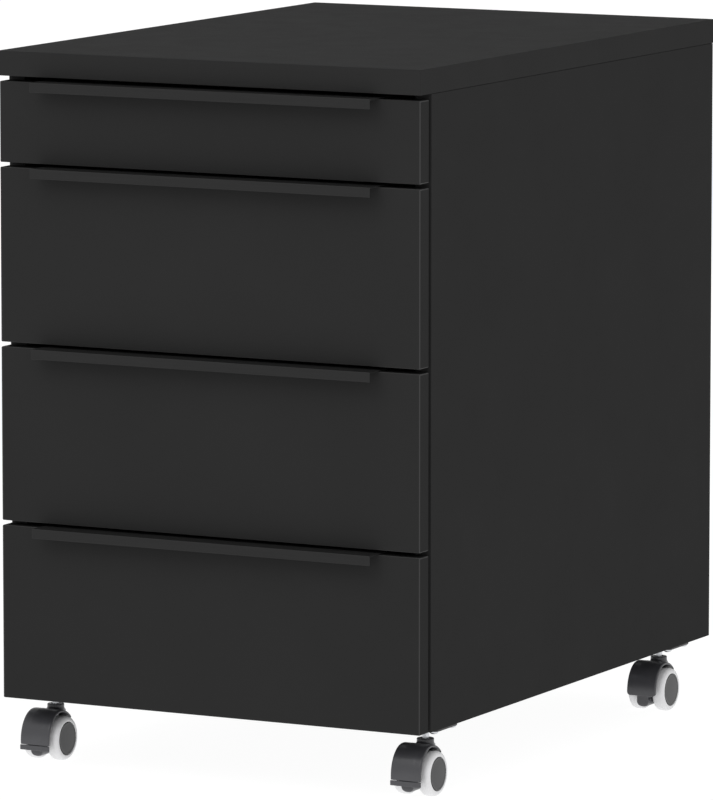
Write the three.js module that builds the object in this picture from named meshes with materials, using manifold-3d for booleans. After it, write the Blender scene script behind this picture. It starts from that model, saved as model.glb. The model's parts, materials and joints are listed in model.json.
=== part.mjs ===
// Rolling pedestal cabinet: a board carcass with a thick top, one shallow pen drawer, three deep
// drawers on roller runners, and four twin-wheel swivel casters.
// Millimetres. +X is right, +Y is back, +Z is up. The origin is on the floor, in the middle of the
// cabinet's overall width and depth, so the drawer fronts face -Y.

import * as THREE from 'three';
import { mergeVertices } from 'three/addons/utils/BufferGeometryUtils.js';
import Module from 'manifold-3d';

const wasm = await Module();
wasm.setup();

// ---------------------------------------------------------------- driving dimensions

const top = { width: 420, depth: 600, thickness: 22 };
const board = 16; // melamine board of the carcass and the drawer fronts
const seam = 0.2; // joint line between two boards that are fixed together

const carcass = { height: 557.5, frontGap: 2.5, rearOverhang: 3.2 };
const back = { thickness: 3, groove: 3.6, grooveDepth: 5.5, inset: 10, reach: 5 };

const front = { width: 417.5, overhang: 2.8, gap: 4.2, height: 156, penHeight: 72 };
const frontPitch = front.height + front.gap;

// Edge handle: a hooked aluminium strip over the front's top edge, lip forward, leg behind.
const handle = { length: 337, sheet: 1.2, reach: 17.5, lip: 8.6, leg: 14, fit: 0.1, legGap: 0.2 };

// Drawer box: coated steel sides with their own runner flange, board bottom and board back.
const drawer = { length: 500, lift: 24, penLift: 10, sideHeight: 118, penSideHeight: 54 };
const side = { sheet: 1.2, space: 14.1, foot: 10, rim: 4, rimDrop: 6, backDrop: 2 };
const runner = { flangeTop: 25.4, flangeReach: 10.7, lipDrop: 2.5 };
const rail = { bottom: 5, height: 25, width: 10.8, sheet: 1.2, setBack: 2, fit: 0.2 };
const roller = { radius: 8.5, width: 4.8, inset: 14, rearZ: 15, frontZ: 15.3, sides: 16 };
const rollerPin = { radius: 3, overlap: 1 };

// Twin-wheel caster.
const caster = { height: 61, inX: 186.5, frontInset: 57.1, rearInset: 536.1, trail: 10.5 };
const plate = { size: 44, thickness: 2, corner: 5 };
const pin = { radius: 3.3, bottom: 30, sides: 20 };
const wheel = { radius: 20, inner: 6.5, outer: 18.5, bore: 3, capWall: 2.5, sides: 24 };
const shoulder = { radial: 5, axial: 4, steps: 3 }; // rounding at each side of a tread
const axle = { radius: 2.5, halfLength: 15.5, boreFit: 0.3, sides: 16 };
const hood = { halfWidth: 15, wall: 2.3, frontReach: 22.3, crest: 26.3, centreY: -6, skirt: 3.3 };
const hoodRear = { drop: 1, end: 15, tyreGap: 1.3, sides: 32 };
const web = { halfThickness: 6, front: -25, low: -14.5, corner: 3.5, rear: 18, rise: 26 };
const neck = { radius: 7.65, bottom: 42, top: 49, boreFit: 0.4, sides: 24 };

// Brake rocker of a front caster, in Y and Z about the axle: a toe bar under the hood's front edge,
// on two lugs whose studs turn in the web.
const toeBar = { halfWidth: 15, front: -28.3, back: -26.9, low: -8.2, high: -3.6 };
const lug = { inner: 6.4, outer: 8.4, radius: 2, pivotY: -22, pivotZ: -5.8 };
const stud = { radius: 1.1, end: 4.8, fit: 0.4, sides: 12 };

const through = 1; // how far a cutting tool runs past the face that it cuts
const hoodTrim = -0.4; // the web stops this far inside the hood's outer skin

// ---------------------------------------------------------------- derived places

const overallDepth = top.depth + handle.reach - front.overhang;
const lipFaceY = -overallDepth / 2;
const frontFaceY = lipFaceY + handle.reach;
const frontBackY = frontFaceY + board;
const topFrontY = frontFaceY - front.overhang;
const topBackY = topFrontY + top.depth;
const carcassFrontY = frontBackY + carcass.frontGap;
const carcassBackY = topBackY - carcass.rearOverhang;
const carcassBottomZ = caster.height;
const topUndersideZ = carcassBottomZ + carcass.height;
const innerHalf = top.width / 2 - board;
const backFaceY = carcassBackY - back.inset - back.groove;
const wallOuterX = innerHalf - side.space; // outside face of a drawer's steel side
const wallInnerX = wallOuterX - side.sheet;
const railStartY = carcassFrontY + rail.setBack;
const sideStartY = frontBackY + seam;

// Drawer 1 is the shallow one at the top, drawers 2 to 4 go down from it.
const drawers = [
  { number: 1, step: 3, height: front.penHeight, lift: drawer.penLift, side: drawer.penSideHeight },
  { number: 2, step: 2, height: front.height, lift: drawer.lift, side: drawer.sideHeight },
  { number: 3, step: 1, height: front.height, lift: drawer.lift, side: drawer.sideHeight },
  { number: 4, step: 0, height: front.height, lift: drawer.lift, side: drawer.sideHeight },
].map((d) => ({ ...d, bottomZ: carcassBottomZ + d.step * frontPitch }));

const casters = [
  { name: 'front_left', x: -caster.inX, y: topFrontY + caster.frontInset, braked: true },
  { name: 'front_right', x: caster.inX, y: topFrontY + caster.frontInset, braked: true },
  { name: 'rear_left', x: -caster.inX, y: topFrontY + caster.rearInset, braked: false },
  { name: 'rear_right', x: caster.inX, y: topFrontY + caster.rearInset, braked: false },
];

// ---------------------------------------------------------------- materials

const finish = (color, roughness, metalness = 0) =>
  new THREE.MeshStandardMaterial({ color, roughness, metalness });

const graphiteBoard = finish(0x2e2e2e, 0.65);
const topBoard = finish(0x323232, 0.6);
const handleFinish = finish(0x333333, 0.4, 0.6);
const coatedSteel = finish(0xd9d9d6, 0.45, 0.2);
const drawerBoard = finish(0xd8d8d4, 0.7);
const zincPlate = finish(0xb9bcc0, 0.35, 1);
const blackSteel = finish(0x232324, 0.4, 0.3);
const housingPlastic = finish(0x3a3a3c, 0.35);
const wheelPlastic = finish(0xd6d6d6, 0.6);

// ---------------------------------------------------------------- shape helpers

const X = new THREE.Vector3(1, 0, 0);
const Y = new THREE.Vector3(0, 1, 0);
const Z = new THREE.Vector3(0, 0, 1);

const outline = (points) => new THREE.Shape(points.map(([u, v]) => new THREE.Vector2(u, v)));

const extrude = (shape, depth) =>
  new THREE.ExtrudeGeometry(shape, { depth, bevelEnabled: false, curveSegments: 6 });

// A box given by its lowest and highest corners.
function box(low, high) {
  const size = high.map((value, i) => value - low[i]);
  const centre = high.map((value, i) => (value + low[i]) / 2);
  return new THREE.BoxGeometry(...size).translate(...centre);
}

// An outline in X and Z, drawn out along Y.
function alongY(points, fromY, toY) {
  const basis = new THREE.Matrix4().makeBasis(X, Z, Y.clone().negate());
  return extrude(outline(points), toY - fromY).applyMatrix4(basis).translate(0, toY, 0);
}

// An outline in Y and Z, drawn out along X.
function alongX(shape, fromX, toX) {
  const basis = new THREE.Matrix4().makeBasis(Y, Z, X);
  return extrude(shape, toX - fromX).applyMatrix4(basis).translate(fromX, 0, 0);
}

// A round bar along X.
function barX(radius, sides, fromX, toX, y, z) {
  const bar = new THREE.CylinderGeometry(radius, radius, toX - fromX, sides);
  return bar.rotateZ(-Math.PI / 2).translate((fromX + toX) / 2, y, z);
}

// A round bar along Z.
function barZ(radius, sides, x, y, fromZ, toZ) {
  const bar = new THREE.CylinderGeometry(radius, radius, toZ - fromZ, sides);
  return bar.rotateX(Math.PI / 2).translate(x, y, (fromZ + toZ) / 2);
}

// Mirrors a geometry in the plane X = 0 and turns its faces out again.
function mirrorX(geometry) {
  const flipped = (geometry.index ? geometry.toNonIndexed() : geometry.clone()).scale(-1, 1, 1);
  const place = flipped.getAttribute('position');
  const swap = new THREE.Vector3();
  const other = new THREE.Vector3();
  for (let i = 0; i < place.count; i += 3) {
    swap.fromBufferAttribute(place, i);
    other.fromBufferAttribute(place, i + 1);
    place.setXYZ(i, other.x, other.y, other.z);
    place.setXYZ(i + 1, swap.x, swap.y, swap.z);
  }
  return flipped;
}

function toSolid(geometry) {
  const bare = geometry.clone();
  bare.deleteAttribute('normal');
  bare.deleteAttribute('uv');
  const merged = mergeVertices(bare, 1e-4);
  return new wasm.Manifold(new wasm.Mesh({
    numProp: 3,
    vertProperties: Float32Array.from(merged.getAttribute('position').array),
    triVerts: Uint32Array.from(merged.getIndex().array),
  }));
}

function toGeometry(solid) {
  const mesh = solid.getMesh();
  const geometry = new THREE.BufferGeometry();
  geometry.setAttribute('position', new THREE.BufferAttribute(mesh.vertProperties, 3));
  geometry.setIndex(new THREE.BufferAttribute(mesh.triVerts, 1));
  return geometry;
}

const join = (...geometries) =>
  toGeometry(geometries.map(toSolid).reduce((whole, piece) => whole.add(piece)));

const cut = (geometry, ...tools) =>
  toGeometry(tools.map(toSolid).reduce((rest, tool) => rest.subtract(tool), toSolid(geometry)));

const cabinet = new THREE.Group();

function addPart(name, geometry, material, place = [0, 0, 0]) {
  const mesh = new THREE.Mesh(geometry, material);
  mesh.name = name;
  mesh.position.set(...place);
  cabinet.add(mesh);
}

// ---------------------------------------------------------------- carcass

// A side panel with the groove that holds the back, seen from above and drawn up from the floor end.
function sidePanel() {
  const grooveX = innerHalf + back.grooveDepth;
  const plan = outline([
    [innerHalf, carcassFrontY],
    [top.width / 2, carcassFrontY],
    [top.width / 2, carcassBackY],
    [innerHalf, carcassBackY],
    [innerHalf, backFaceY + back.groove],
    [grooveX, backFaceY + back.groove],
    [grooveX, backFaceY],
    [innerHalf, backFaceY],
  ]);
  return extrude(plan, carcass.height - seam).translate(0, 0, carcassBottomZ);
}

function addCarcass() {
  const halfTop = top.width / 2;
  const topHigh = [halfTop, topBackY, topUndersideZ + top.thickness];
  addPart('top_panel', box([-halfTop, topFrontY, topUndersideZ], topHigh), topBoard);

  addPart('side_panel_right', sidePanel(), graphiteBoard);
  addPart('side_panel_left', mirrorX(sidePanel()), graphiteBoard);

  const bottomHalf = innerHalf - seam;
  const bottomHigh = [bottomHalf, backFaceY - seam, carcassBottomZ + board];
  const bottomLow = [-bottomHalf, carcassFrontY, carcassBottomZ];
  addPart('bottom_panel', box(bottomLow, bottomHigh), graphiteBoard);

  const backHalf = innerHalf + back.reach;
  const backLow = [-backHalf, backFaceY + back.groove - back.thickness - seam, carcassBottomZ];
  const backHigh = [backHalf, backFaceY + back.groove - seam, topUndersideZ - seam];
  addPart('back_panel', box(backLow, backHigh), graphiteBoard);
}

// ---------------------------------------------------------------- drawers

// The hooked strip: lip in front, flange over the front's top edge, leg behind the front.
function handleStrip(frontTopZ) {
  const underside = frontTopZ + handle.fit;
  const topFace = underside + handle.sheet;
  const legFront = frontBackY + handle.legGap;
  const legBack = legFront + handle.sheet;
  const profile = outline([
    [lipFaceY, topFace],
    [lipFaceY, topFace - handle.lip],
    [lipFaceY + handle.sheet, topFace - handle.lip],
    [lipFaceY + handle.sheet, underside],
    [legFront, underside],
    [legFront, frontTopZ - handle.leg],
    [legBack, frontTopZ - handle.leg],
    [legBack, topFace],
  ]);
  return alongX(profile, -handle.length / 2, handle.length / 2);
}

// The right steel side: wall, rolled rim, foot under the bottom board, runner flange and its roller.
function drawerSide(baseZ, height) {
  const rimX = wallOuterX + side.rim;
  const flangeX = wallOuterX + runner.flangeReach;
  const flangeTopZ = baseZ + runner.flangeTop;
  const flangeBottomZ = flangeTopZ - side.sheet;
  const topZ = baseZ + height;
  const profile = [
    [wallInnerX - side.foot, baseZ],
    [wallOuterX, baseZ],
    [wallOuterX, flangeBottomZ],
    [flangeX - side.sheet, flangeBottomZ],
    [flangeX - side.sheet, flangeBottomZ - runner.lipDrop],
    [flangeX, flangeBottomZ - runner.lipDrop],
    [flangeX, flangeTopZ],
    [wallOuterX, flangeTopZ],
    [wallOuterX, topZ - side.sheet],
    [rimX - side.sheet, topZ - side.sheet],
    [rimX - side.sheet, topZ - side.rimDrop],
    [rimX, topZ - side.rimDrop],
    [rimX, topZ],
    [wallInnerX, topZ],
    [wallInnerX, baseZ + side.sheet],
    [wallInnerX - side.foot, baseZ + side.sheet],
  ];
  const endY = sideStartY + drawer.length;
  const rollerY = endY - roller.inset;
  const rollerZ = baseZ + roller.rearZ;
  const rollerX = flangeX - side.sheet - rail.fit - roller.width;
  const pinStartX = wallOuterX - side.sheet / 2;
  return join(
    alongY(profile, sideStartY, endY),
    barX(rollerPin.radius, roller.sides, pinStartX, rollerX + rollerPin.overlap, rollerY, rollerZ),
    barX(roller.radius, roller.sides, rollerX, rollerX + roller.width, rollerY, rollerZ),
  );
}

// The right cabinet rail: a channel open towards the drawer, with the front roller on its web.
function cabinetRail(baseZ) {
  const webX = innerHalf - rail.fit;
  const innerX = webX - rail.width;
  const lowZ = baseZ + rail.bottom;
  const highZ = lowZ + rail.height;
  const profile = [
    [innerX, lowZ],
    [webX, lowZ],
    [webX, highZ],
    [innerX, highZ],
    [innerX, highZ - rail.sheet],
    [webX - rail.sheet, highZ - rail.sheet],
    [webX - rail.sheet, lowZ + rail.sheet],
    [innerX, lowZ + rail.sheet],
  ];
  const rollerY = railStartY + roller.inset;
  const rollerZ = baseZ + roller.frontZ;
  const rollerEndX = wallOuterX + runner.flangeReach - side.sheet - rail.fit;
  const rollerX = rollerEndX - roller.width;
  const pinStartX = rollerEndX - rollerPin.overlap;
  return join(
    alongY(profile, railStartY, railStartY + drawer.length),
    barX(rollerPin.radius, roller.sides, pinStartX, webX - rail.sheet / 2, rollerY, rollerZ),
    barX(roller.radius, roller.sides, rollerX, rollerEndX, rollerY, rollerZ),
  );
}

function addDrawer({ number, bottomZ, height, lift, side: sideHeight }) {
  const name = `drawer_${number}`;
  const halfFront = front.width / 2;
  const frontTopZ = bottomZ + height;
  const baseZ = bottomZ + lift;
  const boardHalf = wallInnerX - seam;
  const bottomTopZ = baseZ + side.sheet + seam + board;
  const boxEndY = sideStartY + drawer.length;

  const frontBoard = box([-halfFront, frontFaceY, bottomZ], [halfFront, frontBackY, frontTopZ]);
  addPart(`${name}_front`, frontBoard, graphiteBoard);
  addPart(`${name}_handle`, handleStrip(frontTopZ), handleFinish);

  const bottomLow = [-boardHalf, sideStartY, bottomTopZ - board];
  addPart(`${name}_bottom`, box(bottomLow, [boardHalf, boxEndY, bottomTopZ]), drawerBoard);

  const backLow = [-boardHalf, boxEndY - board, bottomTopZ + seam];
  const backHigh = [boardHalf, boxEndY, baseZ + sideHeight - side.backDrop];
  addPart(`${name}_back`, box(backLow, backHigh), drawerBoard);

  const steelSide = drawerSide(baseZ, sideHeight);
  addPart(`${name}_side_right`, steelSide, coatedSteel);
  addPart(`${name}_side_left`, mirrorX(steelSide), coatedSteel);

  const steelRail = cabinetRail(baseZ);
  addPart(`${name}_rail_right`, steelRail, coatedSteel);
  addPart(`${name}_rail_left`, mirrorX(steelRail), coatedSteel);
}

// ---------------------------------------------------------------- casters
// Caster geometry is drawn with its origin on the floor under the swivel pin.

const axleY = -caster.trail;
const axleZ = wheel.radius;

function roundedSquare(size, corner) {
  const half = size / 2;
  const inner = half - corner;
  const shape = new THREE.Shape();
  shape.absarc(inner, inner, corner, 0, Math.PI / 2);
  shape.absarc(-inner, inner, corner, Math.PI / 2, Math.PI);
  shape.absarc(-inner, -inner, corner, Math.PI, 1.5 * Math.PI);
  shape.absarc(inner, -inner, corner, 1.5 * Math.PI, 2 * Math.PI);
  return shape;
}

function plateWithPin() {
  const plateBottom = caster.height - plate.thickness;
  const sheet = extrude(roundedSquare(plate.size, plate.corner), plate.thickness - seam);
  sheet.translate(0, 0, plateBottom);
  const pinTop = plateBottom + plate.thickness / 2;
  return join(sheet, barZ(pin.radius, pin.sides, 0, 0, pin.bottom, pinTop));
}

// The hood's side outline about the axle: skirt, front quarter, then a flatter arc to the rear.
// Grown is how much larger than the outer skin the outline is drawn, so the inner skin is negative.
function hoodOutline(grown) {
  const shape = new THREE.Shape();
  const frontY = hood.centreY - hood.frontReach - grown;
  const rearRadius = hood.crest + hoodRear.drop + grown;
  const endAngle = Math.acos((hoodRear.end - hood.centreY) / rearRadius);
  const skirt = hood.skirt - Math.min(0, grown);
  shape.moveTo(frontY, -skirt);
  shape.lineTo(hoodRear.end, -skirt);
  shape.absarc(hood.centreY, -hoodRear.drop, rearRadius, endAngle, Math.PI / 2);
  shape.absellipse(hood.centreY, 0, hood.frontReach + grown, hood.crest + grown, Math.PI / 2, Math.PI);
  shape.lineTo(frontY, -skirt);
  return shape;
}

// The web's side outline about the axle: it hangs below the skirt in front, passes under the axle
// and rises behind it to carry the collar. Its top is drawn high and is trimmed by the hood.
function webOutline() {
  const shape = new THREE.Shape();
  const cornerY = web.front + web.corner;
  shape.moveTo(web.front, web.rise);
  shape.lineTo(web.front, web.low + web.corner);
  shape.absarc(cornerY, web.low + web.corner, web.corner, Math.PI, 1.5 * Math.PI);
  shape.absarc(0, 0, -web.low, 1.5 * Math.PI, 2 * Math.PI);
  shape.lineTo(web.rear, -web.low / 4);
  shape.lineTo(web.rear, web.rise);
  return shape;
}

function housing() {
  const atAxle = (geometry) => geometry.translate(0, axleY, axleZ);
  const wide = wheel.outer + through;
  const outer = atAxle(alongX(hoodOutline(0), -hood.halfWidth, hood.halfWidth));
  const hollow = atAxle(alongX(hoodOutline(-hood.wall), -wide, wide));
  const tyreRoom = barX(wheel.radius + hoodRear.tyreGap, hoodRear.sides, -wide, wide, axleY, axleZ);
  const shell = cut(outer, hollow, tyreRoom);

  const core = atAxle(alongX(webOutline(), -web.halfThickness, web.halfThickness));
  const abovePart = atAxle(alongX(hoodOutline(hoodTrim), -wide, wide));
  const lowPart = box([-wide, axleY + web.front - through, 0], [wide, axleY + web.rear, axleZ]);
  const trimmed = toGeometry(toSolid(core).intersect(toSolid(join(abovePart, lowPart))));
  const collar = barZ(neck.radius, neck.sides, 0, 0, neck.bottom, neck.top);
  const ribHigh = [web.halfThickness, neck.radius, neck.bottom + through];
  const rib = box([-web.halfThickness, 0, axleZ], ribHigh);

  const pinRoom = pin.radius + neck.boreFit;
  const pinBore = barZ(pinRoom, pin.sides, 0, 0, pin.bottom - neck.boreFit, neck.top + through);
  const axleBore = barX(axle.radius + axle.boreFit, axle.sides, -wide, wide, axleY, axleZ);
  const studBore = atAxle(barX(stud.radius + stud.fit, stud.sides, -wide, wide, lug.pivotY, lug.pivotZ));
  return cut(join(shell, trimmed, rib, collar), pinBore, axleBore, studBore);
}

// A lug's side outline about the axle: from inside the toe bar back to a round end at the pivot.
function lugOutline() {
  const shape = new THREE.Shape();
  const rootY = (toeBar.front + toeBar.back) / 2;
  shape.moveTo(rootY, toeBar.low);
  shape.lineTo(lug.pivotY, lug.pivotZ - lug.radius);
  shape.absarc(lug.pivotY, lug.pivotZ, lug.radius, -Math.PI / 2, Math.PI / 2);
  shape.lineTo(rootY, toeBar.high);
  return shape;
}

function brakeLever() {
  const barLow = [-toeBar.halfWidth, toeBar.front, toeBar.low];
  const bar = box(barLow, [toeBar.halfWidth, toeBar.back, toeBar.high]);
  const arm = alongX(lugOutline(), lug.inner, lug.outer);
  const pivot = barX(stud.radius, stud.sides, stud.end, lug.inner + through, lug.pivotY, lug.pivotZ);
  return join(bar, arm, pivot, mirrorX(arm), mirrorX(pivot)).translate(0, axleY, axleZ);
}

// One wheel, turned about its axle: hub cap outside, rounded tread, blind bore inside. The flats
// between its edges lie at the true radius, and one of them is straight down.
function wheelBody() {
  const edge = wheel.radius / Math.cos(Math.PI / wheel.sides);
  const width = wheel.outer - wheel.inner;
  const rounding = [];
  for (let step = 0; step <= shoulder.steps; step += 1) {
    const angle = (Math.PI / 2) * (step / shoulder.steps);
    const radius = edge - shoulder.radial * (1 - Math.cos(angle));
    rounding.push([radius, shoulder.axial * (1 - Math.sin(angle))]);
  }
  const innerSide = [...rounding].reverse();
  const outerSide = rounding.map(([radius, x]) => [radius, width - x]);
  const profile = [
    [0, width - wheel.capWall],
    [wheel.bore, width - wheel.capWall],
    [wheel.bore, 0],
    ...innerSide,
    ...outerSide,
    [0, width],
  ].map(([radius, x]) => new THREE.Vector2(radius, x));
  const turned = new THREE.LatheGeometry(profile, wheel.sides);
  return turned.rotateY(Math.PI / wheel.sides).rotateZ(-Math.PI / 2);
}

function addCaster({ name, x, y, braked }) {
  const prefix = `caster_${name}`;
  addPart(`${prefix}_plate`, plateWithPin(), blackSteel, [x, y, 0]);
  addPart(`${prefix}_housing`, housing(), housingPlastic, [x, y, 0]);
  const shaft = barX(axle.radius, axle.sides, -axle.halfLength, axle.halfLength, axleY, axleZ);
  addPart(`${prefix}_axle`, shaft, zincPlate, [x, y, 0]);
  if (braked) {
    addPart(`${prefix}_brake_lever`, brakeLever(), housingPlastic, [x, y, 0]);
  }

  const right = wheelBody().translate(wheel.inner, axleY, axleZ);
  addPart(`${prefix}_wheel_right`, right, wheelPlastic, [x, y, 0]);
  addPart(`${prefix}_wheel_left`, mirrorX(right), wheelPlastic, [x, y, 0]);
}

// ---------------------------------------------------------------- assembly

addCarcass();
drawers.forEach(addDrawer);
casters.forEach(addCaster);

export default cabinet;
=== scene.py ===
import json
import math

import bmesh
import bpy
import numpy as np
from mathutils import Matrix, Vector


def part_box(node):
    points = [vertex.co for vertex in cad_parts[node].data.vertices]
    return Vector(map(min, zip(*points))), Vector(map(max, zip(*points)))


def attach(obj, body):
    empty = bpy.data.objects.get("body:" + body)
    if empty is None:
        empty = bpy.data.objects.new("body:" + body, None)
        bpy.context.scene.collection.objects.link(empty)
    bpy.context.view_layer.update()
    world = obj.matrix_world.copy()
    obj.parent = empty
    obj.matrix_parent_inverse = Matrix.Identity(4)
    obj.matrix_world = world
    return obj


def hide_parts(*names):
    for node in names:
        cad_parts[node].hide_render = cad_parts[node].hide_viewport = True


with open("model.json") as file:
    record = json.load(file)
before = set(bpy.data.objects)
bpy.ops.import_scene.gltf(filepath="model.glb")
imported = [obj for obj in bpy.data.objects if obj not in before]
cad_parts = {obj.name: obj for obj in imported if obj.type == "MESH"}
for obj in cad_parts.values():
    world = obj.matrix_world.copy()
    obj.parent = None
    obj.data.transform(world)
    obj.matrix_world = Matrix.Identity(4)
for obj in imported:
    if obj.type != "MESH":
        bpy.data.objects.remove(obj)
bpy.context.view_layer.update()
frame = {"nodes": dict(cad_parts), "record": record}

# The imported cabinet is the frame. Lengths in this script are millimetres until a mesh or an
# object is placed, where they are turned into the frame's metres.
MM = 0.001
nodes = frame["nodes"]

DRAWERS = (1, 2, 3, 4)
CASTERS = ("front_left", "front_right", "rear_left", "rear_right")
BRAKED = ("front_left", "front_right")
SIDES = {"left": -1, "right": 1}


def node_box(node):
    """Lowest and highest corner of a CAD node in millimetres."""
    low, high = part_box(node)
    return low / MM, high / MM


# ------------------------------------------------------------------ materials

def new_material(name):
    material = bpy.data.materials.new(name)
    material.use_nodes = True
    tree = material.node_tree
    return material, tree, tree.nodes["Principled BSDF"]


def link(tree, source, output, target, socket):
    tree.links.new(source.outputs[output], target.inputs[socket])


def add_noise(tree, scale, detail=3.0, roughness=0.5, stretch=(1, 1, 1)):
    """Noise in the object's own coordinates: scale is in features per metre."""
    coords = tree.nodes.new("ShaderNodeTexCoord")
    mapping = tree.nodes.new("ShaderNodeMapping")
    mapping.inputs["Scale"].default_value = stretch
    texture = tree.nodes.new("ShaderNodeTexNoise")
    texture.inputs["Scale"].default_value = scale
    texture.inputs["Detail"].default_value = detail
    texture.inputs["Roughness"].default_value = roughness
    link(tree, coords, "Object", mapping, "Vector")
    link(tree, mapping, "Vector", texture, "Vector")
    return texture


def vary_color(tree, shader, color, spread, texture):
    """A base colour that drifts a little darker and lighter with the texture."""
    ramp = tree.nodes.new("ShaderNodeValToRGB")
    ramp.color_ramp.elements[0].position = 0.3
    ramp.color_ramp.elements[1].position = 0.7
    for element, gain in zip(ramp.color_ramp.elements, (1 - spread, 1 + spread)):
        element.color = (*[min(1, channel * gain) for channel in color], 1)
    link(tree, texture, "Fac", ramp, "Fac")
    link(tree, ramp, "Color", shader, "Base Color")


def vary_roughness(tree, shader, low, high, texture):
    remap = tree.nodes.new("ShaderNodeMapRange")
    remap.inputs["From Min"].default_value = 0.3
    remap.inputs["From Max"].default_value = 0.7
    remap.inputs["To Min"].default_value = low
    remap.inputs["To Max"].default_value = high
    link(tree, texture, "Fac", remap, "Value")
    link(tree, remap, "Result", shader, "Roughness")


def add_relief(tree, shader, reliefs):
    """Bumps on top of each other: each is (texture, depth in metres)."""
    below = None
    for texture, depth in reliefs:
        bump = tree.nodes.new("ShaderNodeBump")
        bump.inputs["Distance"].default_value = depth
        link(tree, texture, "Fac", bump, "Height")
        if below:
            link(tree, below, "Normal", bump, "Normal")
        below = bump
    link(tree, below, "Normal", shader, "Normal")


def melamine(name, color, specular, rough):
    """Board with a printed melamine face: a fine pearl grain over a faint orange peel."""
    material, tree, shader = new_material(name)
    shader.inputs["Specular IOR Level"].default_value = specular
    vary_color(tree, shader, color, 0.03, add_noise(tree, 9, 5, 0.6))
    vary_roughness(tree, shader, rough - 0.03, rough + 0.03, add_noise(tree, 40, 4))
    pearl = add_noise(tree, 1800, 2, 0.7)
    peel = add_noise(tree, 260, 2, 0.4)
    add_relief(tree, shader, [(peel, 0.00004), (pearl, 0.00005)])
    return material


def hardboard(name, color):
    """Painted hardboard: short fibres under the paint."""
    material, tree, shader = new_material(name)
    shader.inputs["Specular IOR Level"].default_value = 0.12
    vary_color(tree, shader, color, 0.08, add_noise(tree, 30, 6, 0.6))
    vary_roughness(tree, shader, 0.72, 0.84, add_noise(tree, 80, 3))
    fibre = add_noise(tree, 500, 3, 0.7, (1, 1, 0.25))
    add_relief(tree, shader, [(fibre, 0.00016)])
    return material


def anodised(name, color):
    """Black anodised aluminium with the brush lines along the strip."""
    material, tree, shader = new_material(name)
    shader.inputs["Specular IOR Level"].default_value = 0.12
    vary_color(tree, shader, color, 0.06, add_noise(tree, 700, 3, 0.6, (0.02, 1, 1)))
    brushed = add_noise(tree, 1600, 2, 0.6, (0.015, 1, 1))
    vary_roughness(tree, shader, 0.42, 0.54, brushed)
    add_relief(tree, shader, [(brushed, 0.00002)])
    return material


def powder_coat(name, color):
    """Powder coat on steel, with its orange peel."""
    material, tree, shader = new_material(name)
    shader.inputs["Specular IOR Level"].default_value = 0.45
    vary_color(tree, shader, color, 0.02, add_noise(tree, 15, 3))
    vary_roughness(tree, shader, 0.34, 0.44, add_noise(tree, 120, 3))
    add_relief(tree, shader, [(add_noise(tree, 620, 1, 0.4), 0.00012)])
    return material


def plated_steel(name, color):
    """Bright zinc plating: faint spangle and fine rolling lines."""
    material, tree, shader = new_material(name)
    shader.inputs["Metallic"].default_value = 1.0
    vary_color(tree, shader, color, 0.07, add_noise(tree, 220, 5, 0.6))
    lines = add_noise(tree, 900, 2, 0.6, (1, 0.1, 1))
    vary_roughness(tree, shader, 0.22, 0.36, lines)
    add_relief(tree, shader, [(lines, 0.00001)])
    return material


def moulded(name, color, specular, rough, grain, depth):
    """Injection-moulded plastic: slow flow marks in the gloss and a very fine skin."""
    material, tree, shader = new_material(name)
    shader.inputs["Specular IOR Level"].default_value = specular
    vary_color(tree, shader, color, 0.04, add_noise(tree, 60, 4))
    vary_roughness(tree, shader, rough - 0.04, rough + 0.04, add_noise(tree, 160, 3))
    add_relief(tree, shader, [(add_noise(tree, grain, 2, 0.5), depth)])
    return material


finishes = {
    "graphite_board": melamine("graphite_melamine", (0.0275, 0.0275, 0.0275), 0.015, 0.78),
    "top_board": melamine("graphite_top_melamine", (0.0275, 0.0275, 0.0275), 0.03, 0.78),
    "back_board": hardboard("graphite_hardboard", (0.025, 0.025, 0.025)),
    "drawer_board": melamine("light_grey_melamine", (0.56, 0.56, 0.54), 0.4, 0.5),
    "handle_black": anodised("black_anodised_aluminium", (0.022, 0.022, 0.022)),
    "coated_steel": powder_coat("light_powder_coat", (0.6, 0.6, 0.58)),
    "zinc": plated_steel("zinc_plated_steel", (0.62, 0.63, 0.65)),
    "black_steel": powder_coat("black_electrocoat", (0.012, 0.012, 0.012)),
    "caster_housing": moulded("glossy_grey_nylon", (0.052, 0.052, 0.058), 0.6, 0.34, 500, 0.00003),
    "caster_wheel": moulded("soft_grey_tread", (0.8, 0.8, 0.81), 0.35, 0.6, 900, 0.0001),
    "hub_cap": moulded("glossy_black_cap", (0.008, 0.008, 0.0095), 0.44, 0.16, 400, 0.00002),
    "nylon": moulded("white_nylon", (0.68, 0.68, 0.65), 0.4, 0.42, 800, 0.00004),
}


# ------------------------------------------------------------------ CAD parts that keep their shape

EDGE_ROUNDING = {
    "graphite_board": 0.9,
    "top_board": 0.5,
    "back_board": 0.3,
    "drawer_board": 0.4,
    "handle_black": 0.3,
    "coated_steel": 0.3,
    "zinc": 0.3,
    "black_steel": 0.4,
    "caster_housing": 0.5,
    "caster_wheel": 0.5,
}
SIDE_PANEL_ROUNDING = 0.4
WELD_GAP = 0.01
SHARP_EDGE = math.radians(35)

# The rounded edges of a drawer front's edge band, and a handle's, take a lighter finish: a painted
# highlight where the rounded edge would catch the light.
EDGE_PAINTED_HIGHLIGHTS = {
    "graphite_board": melamine("edge_band_painted_highlight", (0.05, 0.05, 0.05), 0.1, 0.5),
    "handle_black": anodised("anodised_edge_painted_highlight", (0.034, 0.034, 0.034)),
}


def soften_edges(piece, width):
    """A small round on every sharp edge."""
    bevel = piece.modifiers.new("edges", "BEVEL")
    bevel.width = width * MM
    bevel.segments = 3
    bevel.limit_method = "ANGLE"
    bevel.angle_limit = SHARP_EDGE
    bevel.harden_normals = True
    return bevel


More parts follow.
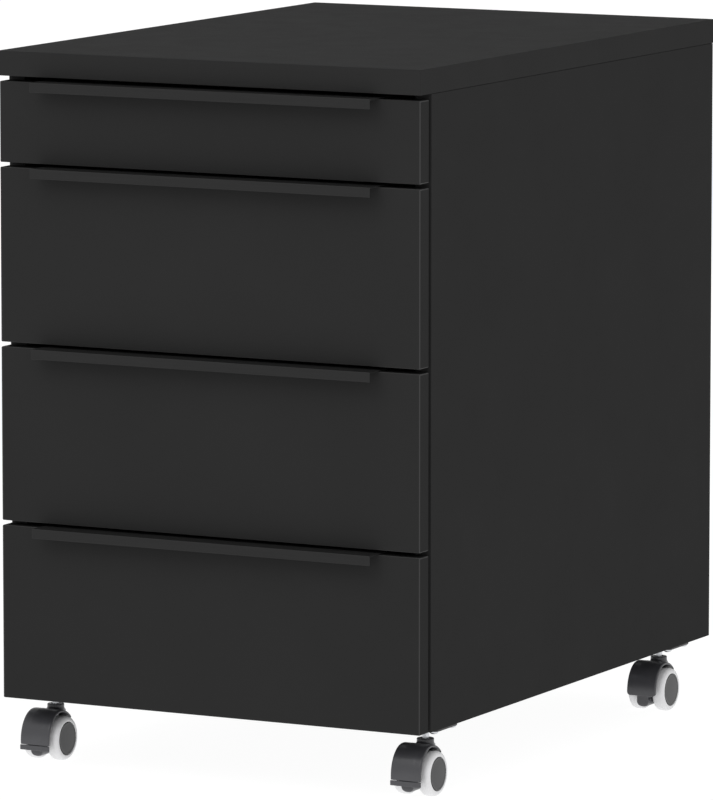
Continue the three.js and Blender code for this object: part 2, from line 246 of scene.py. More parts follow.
def finish_node(node, slot):
    """A CAD part's finish and rounded edges. Its faces come apart, so they are welded first."""
    piece = nodes[node]
    piece.data.materials.clear()
    piece.data.materials.append(finishes[slot])
    weld = piece.modifiers.new("weld", "WELD")
    weld.merge_threshold = WELD_GAP * MM
    rounding = SIDE_PANEL_ROUNDING if node.startswith("side_panel") else EDGE_ROUNDING[slot]
    bevel = soften_edges(piece, rounding)
    # The bevel's faces get the lighter edge finish: a painted highlight on the rounded edge.
    if slot in EDGE_PAINTED_HIGHLIGHTS and node.startswith("drawer"):
        piece.data.materials.append(EDGE_PAINTED_HIGHLIGHTS[slot])
        bevel.material = 1


# ------------------------------------------------------------------ mesh helpers

def to_mesh(name, bm, smooth_angle=40):
    """Turns a bmesh in millimetres into a mesh in metres, smooth up to the given edge angle."""
    bmesh.ops.recalc_face_normals(bm, faces=bm.faces)
    bmesh.ops.scale(bm, vec=(MM, MM, MM), verts=bm.verts)
    mesh = bpy.data.meshes.new(name)
    bm.to_mesh(mesh)
    bm.free()
    mesh.shade_smooth()
    mesh.set_sharp_from_angle(angle=math.radians(smooth_angle))
    return mesh


def rounded(corners, steps=5):
    """A closed outline through corners (u, v, radius), each rounded by an arc of its radius."""
    points = []
    count = len(corners)
    for index, (u, v, radius) in enumerate(corners):
        corner = Vector((u, v))
        if radius == 0:
            points.append((u, v))
            continue
        before = (Vector(corners[index - 1][:2]) - corner).normalized()
        after = (Vector(corners[(index + 1) % count][:2]) - corner).normalized()
        half = before.angle(after) / 2
        centre = corner + (before + after).normalized() * (radius / math.sin(half))
        start = corner + before * (radius / math.tan(half)) - centre
        end = corner + after * (radius / math.tan(half)) - centre
        first = math.atan2(start.y, start.x)
        turn = math.remainder(math.atan2(end.y, end.x) - first, 2 * math.pi)
        for step in range(steps + 1):
            angle = first + turn * step / steps
            points.append((centre.x + radius * math.cos(angle), centre.y + radius * math.sin(angle)))
    return points


def lathe(outline, sides, closed=True):
    """Turns an outline of (radius, height) points about Z. Points at radius 0 stay on the axis."""
    bm = bmesh.new()
    rings = []
    for radius, height in outline:
        if radius < 1e-6:
            rings.append([bm.verts.new((0, 0, height))])
            continue
        ring = []
        for k in range(sides):
            angle = 2 * math.pi * k / sides
            ring.append(bm.verts.new((radius * math.cos(angle), radius * math.sin(angle), height)))
        rings.append(ring)
    followers = rings[1:] + (rings[:1] if closed else [])
    for ring, follower in zip(rings, followers):
        for k in range(sides):
            nearby = (k + 1) % sides
            loop = [
                ring[k % len(ring)],
                ring[nearby % len(ring)],
                follower[nearby % len(follower)],
                follower[k % len(follower)],
            ]
            loop = list(dict.fromkeys(loop))
            if len(loop) > 2:
                bm.faces.new(loop)
    return bm


def prism(outline, low, high):
    """An outline of (x, y) points drawn up along Z from low to high."""
    bm = bmesh.new()
    rings = [[bm.verts.new((x, y, z)) for x, y in outline] for z in (low, high)]
    bm.faces.new(rings[0])
    bm.faces.new(rings[1])
    for k in range(len(outline)):
        nearby = (k + 1) % len(outline)
        bm.faces.new((rings[0][k], rings[0][nearby], rings[1][nearby], rings[1][k]))
    return bm


def soften_rims(bm, width, segments):
    """A small round on a prism's edges that run along its outline, above and below."""
    bmesh.ops.bevel(
        bm,
        geom=[e for e in bm.edges if abs(e.verts[0].co.z - e.verts[1].co.z) < 1e-6],
        offset=width,
        segments=segments,
        affect="EDGES",
    )


def facing(direction):
    """The turn that points Z along a direction."""
    return Vector(direction).to_track_quat("Z", "Y").to_matrix().to_4x4()


MIRROR = Matrix.Scale(-1, 4, (1, 0, 0))


def spread(name, mesh, places):
    """One mesh with a copy of the given mesh at each place, a matrix with its shift in mm."""
    bm = bmesh.new()
    for place in places:
        moved = place.copy()
        moved.translation = place.translation * MM
        fresh = mesh.copy()
        fresh.transform(moved)
        if moved.determinant() < 0:
            fresh.flip_normals()
        bm.from_mesh(fresh)
        bpy.data.meshes.remove(fresh)
    joined = bpy.data.meshes.new(name)
    bm.to_mesh(joined)
    bm.free()
    return joined


def at(x, y, z, direction=(0, 0, 1)):
    """A place whose Z points along a direction."""
    return Matrix.Translation((x, y, z)) @ facing(direction)


def carve(mesh, tool):
    """The mesh with the tool's space taken out of it."""
    scene = bpy.context.scene
    body = bpy.data.objects.new("carve_body", mesh)
    cutter = bpy.data.objects.new("carve_tool", tool)
    scene.collection.objects.link(body)
    scene.collection.objects.link(cutter)
    cut = body.modifiers.new("cut", "BOOLEAN")
    cut.operation = "DIFFERENCE"
    cut.solver = "EXACT"
    cut.object = cutter
    bpy.context.view_layer.update()
    carved = bpy.data.meshes.new_from_object(body.evaluated_get(bpy.context.evaluated_depsgraph_get()))
    bpy.data.objects.remove(body)
    bpy.data.objects.remove(cutter)
    carved.shade_smooth()
    carved.set_sharp_from_angle(angle=SHARP_EDGE)
    return carved


def add_piece(name, mesh, slot, body, place=(0, 0, 0), stands_for=()):
    """Puts a detailed piece into the scene with its finish, on its body."""
    piece = bpy.data.objects.new(name, mesh)
    mesh.materials.clear()
    mesh.materials.append(finishes[slot])
    piece.location = Vector(place) * MM
    bpy.context.scene.collection.objects.link(piece)
    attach(piece, body)
    if stands_for:
        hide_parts(*stands_for)


# ------------------------------------------------------------------ blended solids

def soft_union(a, b, blend):
    """Joins two distance fields with a fillet of about the given size."""
    mix = np.clip(0.5 + 0.5 * (b - a) / blend, 0, 1)
    return b * (1 - mix) + a * mix - blend * mix * (1 - mix)


def soft_overlap(a, b, blend):
    """Keeps what two distance fields share, with its edge rounded by about the given size."""
    return -soft_union(-a, -b, blend)


def rounded_corner(u, v, radius):
    """Distance to the region u < 0, v < 0 whose corner is rounded by the radius."""
    du = np.maximum(u + radius, 0)
    dv = np.maximum(v + radius, 0)
    return np.hypot(du, dv) + np.minimum(np.maximum(u, v) + radius, 0) - radius


def skin_of(field, low, high, step):
    """Points and quads of the surface where a distance field is zero, one point to each cell."""
    axes = [np.arange(a - 2 * step, b + 3 * step, step) for a, b in zip(low, high)]
    value = field(*np.meshgrid(*axes, indexing="ij"))
    cells = tuple(n - 1 for n in value.shape)
    total = np.zeros(cells + (3,))
    count = np.zeros(cells)
    crossings = []
    for axis in range(3):
        first = np.take(value, range(value.shape[axis] - 1), axis)
        second = np.take(value, range(1, value.shape[axis]), axis)
        crosses = (first < 0) != (second < 0)
        along = np.where(crosses, first / np.where(crosses, first - second, 1), 0)
        crossings.append((crosses, first < 0))
        u, v = [other for other in range(3) if other != axis]
        for shift_u in (0, 1):
            for shift_v in (0, 1):
                window = [slice(None)] * 3
                window[u] = slice(shift_u, shift_u + cells[u])
                window[v] = slice(shift_v, shift_v + cells[v])
                used = crosses[tuple(window)]
                count += used
                total[..., axis] += along[tuple(window)] * used
                total[..., u] += shift_u * used
                total[..., v] += shift_v * used
    active = count > 0
    number = np.full(cells, -1)
    number[active] = np.arange(active.sum())
    corner = np.argwhere(active)
    origin = np.array([axis[0] for axis in axes])
    points = (corner + total[active] / count[active][:, None]) * step + origin
    quads = []
    for axis in range(3):
        crosses, leaving = crossings[axis]
        u, v = (axis + 1) % 3, (axis + 2) % 3
        edge = np.argwhere(crosses)
        back_u = np.eye(3, dtype=int)[u]
        back_v = np.eye(3, dtype=int)[v]
        loop = [edge - back_u - back_v, edge - back_v, edge, edge - back_u]
        quad = np.stack([number[tuple(place.T)] for place in loop], axis=1)
        out = leaving[tuple(edge.T)]
        quads.append(np.where(out[:, None], quad, quad[:, ::-1]))
    return points, np.concatenate(quads)


def skin_mesh(name, field, low, high, step):
    """The mesh of a distance field's zero surface between two corners."""
    points, quads = skin_of(field, low, high, step)
    mesh = bpy.data.meshes.new(name)
    mesh.from_pydata((points * MM).tolist(), [], quads.tolist())
    mesh.validate()
    mesh.shade_smooth()
    return mesh


# ------------------------------------------------------------------ screws

def cross_recess(size, depth, top):
    """A tapered cross, as wide as size, that ends the given depth below top."""
    arm = size / 2
    slot = size / 9
    outline = [
        (arm, -slot), (arm, slot), (slot, slot), (slot, arm), (-slot, arm), (-slot, slot),
        (-arm, slot), (-arm, -slot), (-slot, -slot), (-slot, -arm), (slot, -arm), (slot, -slot),
    ]
    bm = prism(outline, top - depth, top + 1)
    for vertex in bm.verts:
        if vertex.co.z < top:
            vertex.co.x *= 0.6
            vertex.co.y *= 0.6
    return to_mesh("recess", bm)


def pan_head(radius, height):
    """A pan-head screw's head, standing on Z = 0, with a cross recess."""
    outline = rounded([
        (0, 0, 0),
        (radius, 0, 0.15),
        (radius, height * 0.45, radius * 0.25),
        (radius * 0.62, height * 0.95, radius * 0.3),
        (0, height, 0),
    ])
    head = to_mesh("pan_head", lathe(outline, 32), 50)
    return carve(head, cross_recess(radius * 1.15, height * 0.6, height))


def cam_disc(radius, height):
    """A cam fitting's face: a shallow disc with a raised rim and a cross recess."""
    rim = radius * 0.12
    outline = rounded([
        (0, 0, 0),
        (radius, 0, 0),
        (radius, height, 0.2),
        (radius - rim, height, 0.15),
        (radius - rim, height * 0.6, 0.15),
        (0, height * 0.6, 0),
    ])
    disc = to_mesh("cam_disc", lathe(outline, 48), 50)
    return carve(disc, cross_recess(radius * 0.9, height * 1.5, height * 0.6))


# ------------------------------------------------------------------ carcass fittings

CAM = {"radius": 7.4, "height": 0.5}
TOP_CAM = {"below_top": 24, "from_front": 60, "from_rear": 75}
BOTTOM_CAM = {"from_side": 34, "from_front": 120, "from_rear": 110}


def add_cam_fittings():
    """Cam fittings that hold the top to the sides, and the sides to the bottom panel."""
    cam = cam_disc(CAM["radius"], CAM["height"])
    side_low, side_high = node_box("side_panel_right")
    height = side_high.z - TOP_CAM["below_top"]
    places = []
    for turn in SIDES.values():
        for y in (side_low.y + TOP_CAM["from_front"], side_high.y - TOP_CAM["from_rear"]):
            places.append(at(turn * side_low.x, y, height, (-turn, 0, 0)))
    add_piece("top_cam_fittings", spread("top_cams", cam, places), "zinc", "cabinet")

    bottom_low, bottom_high = node_box("bottom_panel")
    across = bottom_high.x - BOTTOM_CAM["from_side"]
    places = []
    for turn in SIDES.values():
        for y in (bottom_low.y + BOTTOM_CAM["from_front"], bottom_high.y - BOTTOM_CAM["from_rear"]):
            places.append(at(turn * across, y, bottom_low.z, (0, 0, -1)))
    add_piece("bottom_cam_fittings", spread("bottom_cams", cam, places), "zinc", "cabinet")


# ------------------------------------------------------------------ drawer fittings

# A nylon roller reaches past the CAD part's plain one by "over" on each side.
ROLLER = {"radius": 8.65, "plain_width": 4.8, "over": 0.2, "inset": 14, "rear_z": 15, "front_z": 15.3}
FLANGE_GAP = 1.4  # from the flange's outer edge in to the roller's side
FLANGE_REACH = 10.7  # from the steel wall's outer face out to the flange's edge
RAIL_SCREWS = {"sheet": 1.2, "from_front": (45, 260), "from_rear": 40}
HANDLE_SCREWS = {"below_top": 8.3, "across": (-140, 0, 140)}
BRACKET = {
    "reach": 9.5, "leg": 26, "sheet": 1.4, "above_side": 29, "below_rim": 7.5,
    "off_wall": 0.1, "off_front": 0.3, "screw_across": 5.6, "screw_inset": 14,
}
SHALLOW_SIDE = 80  # a steel side lower than this has one bracket screw
HOLDER = {
    "width": 20, "sheet": 1.2, "above_side": 21, "below_rim": 7, "off_back": 0.1,
    "screw_across": 12, "screw_inset": 8,
}
SHORT_HOLDER = 40  # a rear holder of this height or less has one screw


def roller_mesh(width):
    """A nylon roller along Z, with a rounded tread and a dished face."""
    radius = ROLLER["radius"]
    outline = rounded([
        (0, -width / 2 + 0.15, 0),
        (5.2, -width / 2 + 0.15, 0.2),
        (5.8, -width / 2, 0.2),
        (radius, -width / 2, 0.6),
        (radius, width / 2, 0.6),
        (5.8, width / 2, 0.2),
        (5.2, width / 2 - 0.15, 0.2),
        (0, width / 2 - 0.15, 0),
    ])
    return to_mesh("roller", lathe(outline, 48, closed=False), 50)


def rivet_mesh():
    """A flat rivet head with a chamfered rim, standing on Z = 0."""
    outline = [(0, 0), (2.7, 0), (2.7, 0.15), (2.3, 0.5), (1.5, 0.7), (0, 0.75)]
    return to_mesh("rivet", lathe(outline, 28), 50)


def add_rollers(number):
    """The roller at the rear of each steel side, and the one at the front of each rail."""
    side_low, side_high = node_box(f"drawer_{number}_side_right")
    rail_low, _ = node_box(f"drawer_{number}_rail_right")
    outer = side_high.x - FLANGE_GAP + ROLLER["over"]
    width = ROLLER["plain_width"] + 2 * ROLLER["over"]
    middle = outer - width / 2
    rear = (side_high.y - ROLLER["inset"], side_low.z + ROLLER["rear_z"])
    front = (rail_low.y + ROLLER["inset"], side_low.z + ROLLER["front_z"])
    body = f"drawer_{number}"

    roller = roller_mesh(width)
    rivet = rivet_mesh()
    turns = SIDES.values()
    rear_rollers = [at(turn * middle, *rear, (turn, 0, 0)) for turn in turns]
    rail_rollers = [at(turn * middle, *front, (turn, 0, 0)) for turn in turns]
    rear_rivets = [at(turn * outer, *rear, (turn, 0, 0)) for turn in turns]
    rail_rivets = [at(turn * (outer - width), *front, (-turn, 0, 0)) for turn in turns]
    rows = [
        ("rear_rollers", roller, rear_rollers, "nylon", body),
        ("rail_rollers", roller, rail_rollers, "nylon", "cabinet"),
        ("rear_roller_rivets", rivet, rear_rivets, "zinc", body),
        ("rail_roller_rivets", rivet, rail_rivets, "zinc", "cabinet"),
    ]
    for name, mesh, places, slot, owner in rows:
        full_name = f"drawer_{number}_{name}"
        add_piece(full_name, spread(full_name, mesh, places), slot, owner)


def add_rail_screws(number, screw):
    """The screws through each rail's web into the side panel."""
    rail_low, rail_high = node_box(f"drawer_{number}_rail_right")
    web = rail_high.x - RAIL_SCREWS["sheet"]
    height = (rail_low.z + rail_high.z) / 2
    along = [rail_low.y + inset for inset in RAIL_SCREWS["from_front"]]
    along.append(rail_high.y - RAIL_SCREWS["from_rear"])
    places = []
    for turn in SIDES.values():
        for y in along:
            places.append(at(turn * web, y, height, (-turn, 0, 0)))
    name = f"drawer_{number}_rail_screws"
    add_piece(name, spread(name, screw, places), "zinc", "cabinet")


def add_handle_screws(number, screw):
    """The screws through the handle's rear leg."""
    _, handle_high = node_box(f"drawer_{number}_handle")
    height = handle_high.z - HANDLE_SCREWS["below_top"]
    places = [at(x, handle_high.y, height, (0, 1, 0)) for x in HANDLE_SCREWS["across"]]
    name = f"drawer_{number}_handle_screws"
    add_piece(name, spread(name, screw, places), "handle_black", f"drawer_{number}")


def angle_bracket(reach, leg, sheet, height):
    """An L of steel sheet that stands along Z: one leg along X, one along Y."""
    outline = rounded([
        (0, 0, 1.6),
        (reach, 0, 0.3),
        (reach, sheet, 0.3),
        (sheet, sheet, 0.6),
        (sheet, leg, 0.3),
        (0, leg, 0.3),
    ], 3)
    bm = prism(outline, 0, height)
    soften_rims(bm, 0.25, 2)
    return to_mesh("bracket", bm, 40)


def add_front_brackets(number, screw):
    """Steel angles that tie each steel side to the back of the front, with their screws."""
    _, front_high = node_box(f"drawer_{number}_front")
    side_low, side_high = node_box(f"drawer_{number}_side_right")
    wall = side_high.x - FLANGE_REACH
    low = side_low.z + BRACKET["above_side"]
    high = side_high.z - BRACKET["below_rim"]
    start = front_high.y + BRACKET["off_front"]
    bracket = angle_bracket(BRACKET["reach"], BRACKET["leg"], BRACKET["sheet"], high - low)
    across = wall + BRACKET["off_wall"]
    places = [
        Matrix.Translation((across, start, low)),
        Matrix.Translation((-across, start, low)) @ MIRROR,
    ]
    name = f"drawer_{number}_front_brackets"
    add_piece(name, spread(name, bracket, places), "zinc", f"drawer_{number}")

    inset = BRACKET["screw_inset"]
    shallow = side_high.z - side_low.z < SHALLOW_SIDE
    levels = [(low + high) / 2] if shallow else [low + inset, high - inset]
    across = wall + BRACKET["screw_across"]
    screws = []
    for turn in SIDES.values():
        for z in levels:
            screws.append(at(turn * across, start + BRACKET["sheet"], z, (0, 1, 0)))
    name = f"drawer_{number}_bracket_screws"
    add_piece(name, spread(name, screw, screws), "zinc", f"drawer_{number}")


def add_rear_holders(number, screw):
    """Flat tabs that tie each steel side to the board at the back of the drawer."""
    side_low, side_high = node_box(f"drawer_{number}_side_right")
    _, back_high = node_box(f"drawer_{number}_back")
    wall = side_high.x - FLANGE_REACH
    low = side_low.z + HOLDER["above_side"]
    high = side_high.z - HOLDER["below_rim"]
    width, sheet = HOLDER["width"], HOLDER["sheet"]
    start = back_high.y + HOLDER["off_back"]
    outline = rounded([
        (0, low, 2), (width, low, 0.5), (width, high, 0.5), (0, high, 2),
    ], 4)
    bm = prism(outline, 0, sheet)
    soften_rims(bm, 0.2, 2)
    tab = to_mesh("tab", bm)
    upright = Matrix(((1, 0, 0, 0), (0, 0, 1, 0), (0, 1, 0, 0), (0, 0, 0, 1)))
    places = [
        Matrix.Translation((wall - width, start, 0)) @ upright,
        Matrix.Translation((width - wall, start, 0)) @ MIRROR @ upright,
    ]
    name = f"drawer_{number}_rear_holders"
    add_piece(name, spread(name, tab, places), "zinc", f"drawer_{number}")

    inset = HOLDER["screw_inset"]
    levels = [low + inset, high - inset] if high - low > SHORT_HOLDER else [(low + high) / 2]
    across = wall - HOLDER["screw_across"]
    screws = []
    for turn in SIDES.values():
        for z in levels:
            screws.append(at(turn * across, start + sheet, z, (0, 1, 0)))
    name = f"drawer_{number}_rear_screws"
    add_piece(name, spread(name, screw, screws), "zinc", f"drawer_{number}")


def add_drawer_fittings():
    """Everything that holds a drawer together and lets it run, for each drawer."""
    small_screw = pan_head(3.2, 1.5)
    flat_screw = pan_head(3.4, 0.9)
    for number in DRAWERS:
        add_rollers(number)
        add_rail_screws(number, flat_screw)
        add_handle_screws(number, small_screw)
        add_front_brackets(number, small_screw)
        add_rear_holders(number, small_screw)


# ------------------------------------------------------------------ casters
# Caster shapes are drawn about the axle: X along it, Y back and Z up, with the pin behind it.

HOOD = {"half": 15, "wall": 2.3, "front": 22.3, "crest": 26.3, "centre": -6, "skirt": 3.3}
PLAIN_CORNER = 4
BRAKED_CORNER = 0.6
REAR = {"radius": 27.3, "drop": 1, "end": 15, "tread_room": 21.3, "corner": 3}
WEB = {"half": 6, "front": -25, "low": 14.5, "corner": 3.5, "rear": 18, "rear_corner": 4, "off_hood": 0.8}
NECK = {"radius": 7.65, "top": 29, "bottom": 22, "bore": 3.75, "bore_depth": 3}
BRAKE = {
    "half": 15, "front": -28.3, "back": -26.9, "low": -8.2, "high": -3.6, "edge": 0.6,
    "pivot_y": -22, "pivot_z": -5.8, "lug_middle": 7.4, "lug_half": 1, "lug_radius": 2,
    "stud": 1.1, "stud_half": 1.3, "stud_fit": 0.4,
}
HOUSING_STEP = 0.5
LEVER_STEP = 0.3


def hood_distance(y, z):
    """Distance to the hood's outer skin in its side view: skirt, front quarter, flatter rear arc."""
    across, up = HOOD["front"], HOOD["crest"]
    u = y - HOOD["centre"]
    scaled = np.hypot(u / across, z / up)
    slope = np.hypot(u / across**2, z / up**2)
    quarter = scaled * (scaled - 1) / np.maximum(slope, 1e-6)
    arc = np.hypot(u, z + REAR["drop"]) - REAR["radius"]
    skirt = -u - across
    front = np.where(z > 0, quarter, skirt)
    return np.where(u < 0, front, arc)


def housing_distance(pin_y, corner):
    """The whole housing: hood shell, web between the wheels, rear rib and collar, all blended."""

    def distance(x, y, z):
        outer = hood_distance(y, z)
        wide = np.abs(x) - HOOD["half"]
        tail = rounded_corner(wide, y - REAR["end"], REAR["corner"])
        shell = soft_overlap(outer, tail, 2.2)
        shell = soft_overlap(shell, rounded_corner(wide, -z - HOOD["skirt"], corner), 0.7)
        shell = soft_overlap(shell, -(outer + HOOD["wall"]), 0.6)
        shell = soft_overlap(shell, REAR["tread_room"] - np.hypot(y, z), 0.4)

        front = rounded_corner(WEB["front"] - y, -z - WEB["low"], WEB["corner"])
        block = np.maximum(front, y)
        disc = np.hypot(y, z) - WEB["low"]
        rear = rounded_corner(y - WEB["rear"], -z, WEB["rear_corner"])
        side_view = soft_union(soft_union(block, disc, 1), rear, 2)
        keel = np.hypot(np.maximum(disc + WEB["half"], 0), x) - WEB["half"]
        prow = np.hypot(np.maximum(-z - WEB["low"] + WEB["half"], 0), x) - WEB["half"]
        web = soft_overlap(side_view, np.where(y < 0, prow, keel), 1.5)
        web = np.maximum(web, outer + WEB["off_hood"])

        behind = y - pin_y
        rib = np.maximum(np.abs(x) - WEB["half"], behind - NECK["radius"] + 0.3)
        rib = np.maximum(np.maximum(rib, -behind), np.maximum(-z, z - NECK["bottom"] - 1))
        collar = soft_overlap(np.hypot(x, behind) - NECK["radius"], z - NECK["top"], 0.8)
        collar = soft_overlap(collar, NECK["bottom"] - z, 0.8)

        whole = soft_union(shell, web, 1.6)
        whole = soft_union(whole, rib, 1.2)
        whole = soft_union(whole, collar, 3.2)
        bore = np.maximum(np.hypot(x, behind) - NECK["bore"], NECK["top"] - NECK["bore_depth"] - z)
        whole = soft_overlap(whole, -bore, 0.5)
        from_pivot = np.hypot(y - BRAKE["pivot_y"], z - BRAKE["pivot_z"])
        stud_bore = BRAKE["stud"] + BRAKE["stud_fit"] - from_pivot
        return soft_overlap(whole, stud_bore, 0.3)

    return distance


def block_distance(point, low, high, radius):
    """Distance to a box with rounded edges."""
    beyond = [np.abs(p - (a + b) / 2) - (b - a) / 2 + radius for p, a, b in zip(point, low, high)]
    outside = np.sqrt(sum(np.maximum(part, 0) ** 2 for part in beyond))
    return outside + np.minimum(np.maximum.reduce(beyond), 0) - radius


def lever_distance(x, y, z):
    """The brake rocker: a rounded toe bar on two lugs, with a stud inside each lug."""
    half, middle = BRAKE["half"], BRAKE["lug_middle"]
    pivot_y, pivot_z, reach = BRAKE["pivot_y"], BRAKE["pivot_z"], BRAKE["lug_radius"]
    out = np.abs(x)
    bar_low, bar_high = (-half, BRAKE["front"], BRAKE["low"]), (half, BRAKE["back"], BRAKE["high"])
    bar = block_distance((x, y, z), bar_low, bar_high, BRAKE["edge"])
    lug_half, into_bar = BRAKE["lug_half"], 1
    arm_low = (middle - lug_half, BRAKE["back"] - into_bar, pivot_z - reach)
    arm_high = (middle + lug_half, pivot_y, pivot_z + reach)
    arm = block_distance((out, y, z), arm_low, arm_high, 0.4)
    from_pivot = np.hypot(y - pivot_y, z - pivot_z)
    boss = soft_overlap(from_pivot - reach, np.abs(out - middle) - lug_half, 0.5)
    stud_half = BRAKE["stud_half"]
    stud = np.maximum(from_pivot - BRAKE["stud"], np.abs(out - middle + stud_half) - stud_half)
    return np.minimum(soft_union(bar, np.minimum(arm, boss), 1.2), stud)


# A wheel's inner and outer sides, measured along the axle from the middle of the caster.
TREAD_INNER = 6.5
TREAD_OUTER = 18.5


def tread_mesh():
    """The soft tyre: a crowned tread with big round shoulders, turned about Z."""
    outline = rounded([
        (12.6, TREAD_INNER + 1.2, 0),
        (14.6, TREAD_INNER, 1.2),
        (19.75, TREAD_INNER, 3.4),
        (20, (TREAD_INNER + TREAD_OUTER) / 2 - 0.5, 12),
        (19.8, TREAD_OUTER, 4.2),
        (15.25, TREAD_OUTER - 0.1, 0.6),
        (15.0, TREAD_OUTER - 1.2, 0.1),
        (12.6, TREAD_OUTER - 1.4, 0),
    ], 8)
    return to_mesh("tread", lathe(outline, 96), 50)


def hub_core_mesh():
    """The wheel's rigid core inside the tyre, with its bearing boss and dished inner face."""
    outline = rounded([
        (2.7, TREAD_INNER + 0.2, 0.2),
        (4.8, TREAD_INNER + 0.2, 0.4),
        (5.2, TREAD_INNER + 1.8, 0.4),
        (10.6, TREAD_INNER + 1.8, 0.5),
        (11.2, TREAD_INNER + 0.7, 0.3),
        (12.8, TREAD_INNER + 0.7, 0.3),
        (12.8, TREAD_OUTER - 1.6, 0.1),
        (2.7, TREAD_OUTER - 1.6, 0.1),
    ], 3)
    return to_mesh("hub_core", lathe(outline, 64), 50)


def hub_cap_mesh():
    """The pressed-in cap: a fine rim, then a face that is a trace lower and slightly domed."""
    rim = 14.85
    face = TREAD_OUTER - 0.2
    dome = [(12.9 * (1 - k / 6), face - 0.12 + 0.14 * (1 - (1 - k / 6) ** 2)) for k in range(7)]
    outline = [
        (0, TREAD_OUTER - 1.7),
        (rim - 0.2, TREAD_OUTER - 1.7),
        (rim, TREAD_OUTER - 1.4),
        (rim, face - 0.45),
        (rim - 0.13, face - 0.13),
        (rim - 0.45, face),
        (13.5, face),
        (13.25, face - 0.05),
        (13.05, face - 0.12),
    ] + dome
    return to_mesh("hub_cap", lathe(outline, 96), 50)


PLATE = {"thickness": 1.8, "corner": 5, "hole": 17, "screw": 4.0, "head": 2.5}
PIN = {"radius": 3.3, "drop": 28.5}


def plate_mesh(size):
    """The square mounting plate, with its top at Z = 0."""
    half = size / 2
    corner = PLATE["corner"]
    quarters = ((half, half), (-half, half), (-half, -half), (half, -half))
    outline = rounded([(*quarter, corner) for quarter in quarters], 8)
    bm = prism(outline, -PLATE["thickness"], 0)
    soften_rims(bm, 0.35, 3)
    return to_mesh("plate", bm, 40)


def pin_mesh():
    """The swivel pin: riveted collar under the plate, plain shaft, chamfered end."""
    radius, drop = PIN["radius"], PIN["drop"]
    outline = rounded([
        (0, 0, 0),
        (5.6, 0, 0),
        (5.4, -0.7, 0.4),
        (3.9, -1.1, 0.4),
        (radius, -2.0, 0.5),
        (radius, -drop + 0.8, 0),
        (radius - 0.7, -drop, 0.2),
        (0, -drop, 0),
    ], 4)
    return to_mesh("pin", lathe(outline, 48), 40)


def along_x(mesh, name, turn):
    """A copy of a mesh drawn along Z, laid along X, to the right or to the left."""
    copy = mesh.copy()
    copy.name = name
    copy.transform(facing((turn, 0, 0)))
    return copy


def housing_meshes(pin_y):
    """The plain housing, and the one whose skirt has a brake lever under it."""
    reach = HOOD["front"] - HOOD["centre"]
    housing_low = (-HOOD["half"], -reach, -WEB["low"])
    housing_high = (HOOD["half"], pin_y + NECK["radius"], NECK["top"])
    return [
        skin_mesh(name, housing_distance(pin_y, corner), housing_low, housing_high, HOUSING_STEP)
        for name, corner in (("plain_housing", PLAIN_CORNER), ("braked_housing", BRAKED_CORNER))
    ]


def lever_mesh():
    """The brake lever, whose bounds come from its bar and its lugs."""
    low = (-BRAKE["half"], BRAKE["front"], BRAKE["pivot_z"] - BRAKE["lug_radius"])
    high = (BRAKE["half"], BRAKE["pivot_y"] + BRAKE["lug_radius"], BRAKE["high"])
    return skin_mesh("brake_lever", lever_distance, low, high, LEVER_STEP)


def plate_screws_mesh(name, screw):
    """A screw at each of the plate's four holes, heads down."""
    places = []
    for turn_x in (-1, 1):
        for turn_y in (-1, 1):
            places.append(at(turn_x * PLATE["hole"], turn_y * PLATE["hole"], 0, (0, 0, -1)))
    return spread(name, screw, places)


def add_casters():
    """The detailed pieces of each caster, placed where its CAD nodes are."""
    plate_low, plate_high = node_box("caster_front_right_plate")
    wheel_low, wheel_high = node_box("caster_front_right_wheel_right")
    pin_y = (plate_low.y + plate_high.y - wheel_low.y - wheel_high.y) / 2
    plain, braked = housing_meshes(pin_y)
    lever = lever_mesh()
    tread, core, cap = tread_mesh(), hub_core_mesh(), hub_cap_mesh()
    plate, pin = plate_mesh(plate_high.x - plate_low.x), pin_mesh()
    screw = pan_head(PLATE["screw"], PLATE["head"])

    for caster in CASTERS:
        node = f"caster_{caster}"
        low, high = node_box(f"{node}_plate")
        x, y = (low.x + high.x) / 2, (low.y + high.y) / 2
        wheel_low, wheel_high = node_box(f"{node}_wheel_right")
        axle = (x, (wheel_low.y + wheel_high.y) / 2, (wheel_low.z + wheel_high.z) / 2)
        top = (x, y, high.z)
        under = (x, y, high.z - PLATE["thickness"])

        housing = braked if caster in BRAKED else plain
        add_piece(f"{node}_hood", housing.copy(), "caster_housing", node, axle, [f"{node}_housing"])
        mount = f"{node}_mounting_plate"
        add_piece(mount, plate.copy(), "black_steel", "cabinet", top, [f"{node}_plate"])
        add_piece(f"{node}_swivel_pin", pin.copy(), "zinc", "cabinet", under)
        screws = plate_screws_mesh(f"{node}_screws", screw)
        add_piece(f"{node}_plate_screws", screws, "zinc", "cabinet", under)

        if caster in BRAKED:
            rocker = f"{node}_brake_lever"
            add_piece(f"{node}_rocker", lever.copy(), "caster_housing", f"{node}_brake", axle, [rocker])

        for side, turn in SIDES.items():
            wheel = f"{node}_{side}_wheel"
            tyre = along_x(tread, f"{wheel}_tyre", turn)
            inside = along_x(core, f"{wheel}_core", turn)
            cover = along_x(cap, f"{wheel}_cap", turn)
            add_piece(f"{wheel}_tyre", tyre, "caster_wheel", wheel, axle, [f"{node}_wheel_{side}"])
            add_piece(f"{wheel}_core", inside, "caster_housing", wheel, axle)
            add_piece(f"{wheel}_hub_cap", cover, "hub_cap", wheel, axle)


# ------------------------------------------------------------------ stage, light and camera

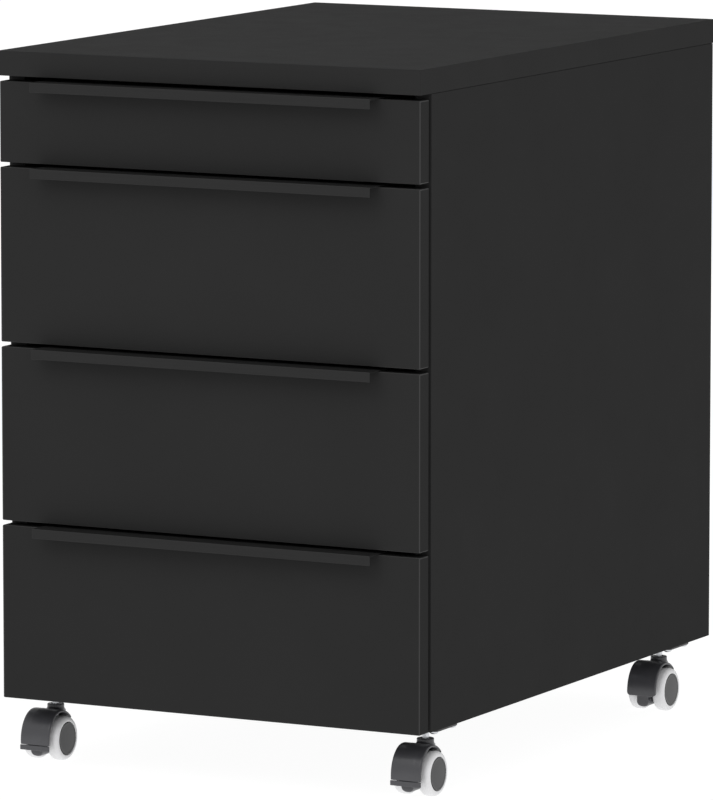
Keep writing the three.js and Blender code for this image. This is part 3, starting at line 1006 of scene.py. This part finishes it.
def add_floor():
    """A pale floor, in metres, that reaches far past the picture."""
    half = 80.0
    corners = [(-half, -half, 0), (half, -half, 0), (half, half, 0), (-half, half, 0)]
    mesh = bpy.data.meshes.new("floor")
    mesh.from_pydata(corners, [], [(0, 1, 2, 3)])
    floor = bpy.data.objects.new("floor", mesh)
    bpy.context.scene.collection.objects.link(floor)
    material, _, shader = new_material("floor_white")
    shader.inputs["Base Color"].default_value = (0.12, 0.12, 0.12, 1)
    shader.inputs["Roughness"].default_value = 1.0
    shader.inputs["Specular IOR Level"].default_value = 0.0
    shader.inputs["Emission Color"].default_value = (1, 1, 1, 1)
    shader.inputs["Emission Strength"].default_value = 0.96
    mesh.materials.append(material)


def add_world():
    """A white horizon that fades to a softer light overhead."""
    world = bpy.data.worlds.new("studio")
    world.use_nodes = True
    tree = world.node_tree
    direction = tree.nodes.new("ShaderNodeTexCoord")
    parts = tree.nodes.new("ShaderNodeSeparateXYZ")
    fade = tree.nodes.new("ShaderNodeMapRange")
    fade.inputs["From Min"].default_value = 0.01
    fade.inputs["From Max"].default_value = 0.12
    fade.inputs["To Min"].default_value = 1.0
    fade.inputs["To Max"].default_value = 0.7
    background = tree.nodes["Background"]
    link(tree, direction, "Generated", parts, "Vector")
    link(tree, parts, "Z", fade, "Value")
    link(tree, fade, "Result", background, "Strength")
    background.inputs["Color"].default_value = (1, 1, 1, 1)
    bpy.context.scene.world = world


def add_softbox(name, place, target, size, energy):
    """A round area light that looks at the target, in metres and watts."""
    lamp = bpy.data.lights.new(name, "AREA")
    lamp.shape = "DISK"
    lamp.size = size
    lamp.energy = energy
    holder = bpy.data.objects.new(name, lamp)
    holder.location = place
    holder.rotation_euler = (Vector(target) - Vector(place)).to_track_quat("-Z", "Y").to_euler()
    bpy.context.scene.collection.objects.link(holder)


def add_camera(azimuth, elevation, distance, target, lens):
    """A camera that looks at the target from the given angles in degrees, in metres."""
    turn, rise = math.radians(azimuth), math.radians(elevation)
    back = Vector((
        math.sin(turn) * math.cos(rise),
        -math.cos(turn) * math.cos(rise),
        math.sin(rise),
    ))
    data = bpy.data.cameras.new("camera")
    data.sensor_width = 36
    data.lens = lens
    data.clip_end = 250
    camera = bpy.data.objects.new("camera", data)
    camera.location = Vector(target) + back * distance
    camera.rotation_euler = (-back).to_track_quat("-Z", "Y").to_euler()
    bpy.context.scene.collection.objects.link(camera)
    bpy.context.scene.camera = camera


# ------------------------------------------------------------------ the scene

for part in frame["record"]["subparts"]:
    finish_node(part["node"], part["material_slot"])
add_cam_fittings()
add_drawer_fittings()
add_casters()

add_floor()
add_world()
add_softbox("softbox_front", (-0.3, -2.2, 2.4), (0, 0, 0.5), 2.0, 14)
add_camera(
    azimuth=27.576,
    elevation=7.716,
    distance=6.638,
    target=(-0.0028, -0.0034, 0.3075),
    lens=328.05,
)
bpy.context.scene.view_settings.view_transform = "Standard"
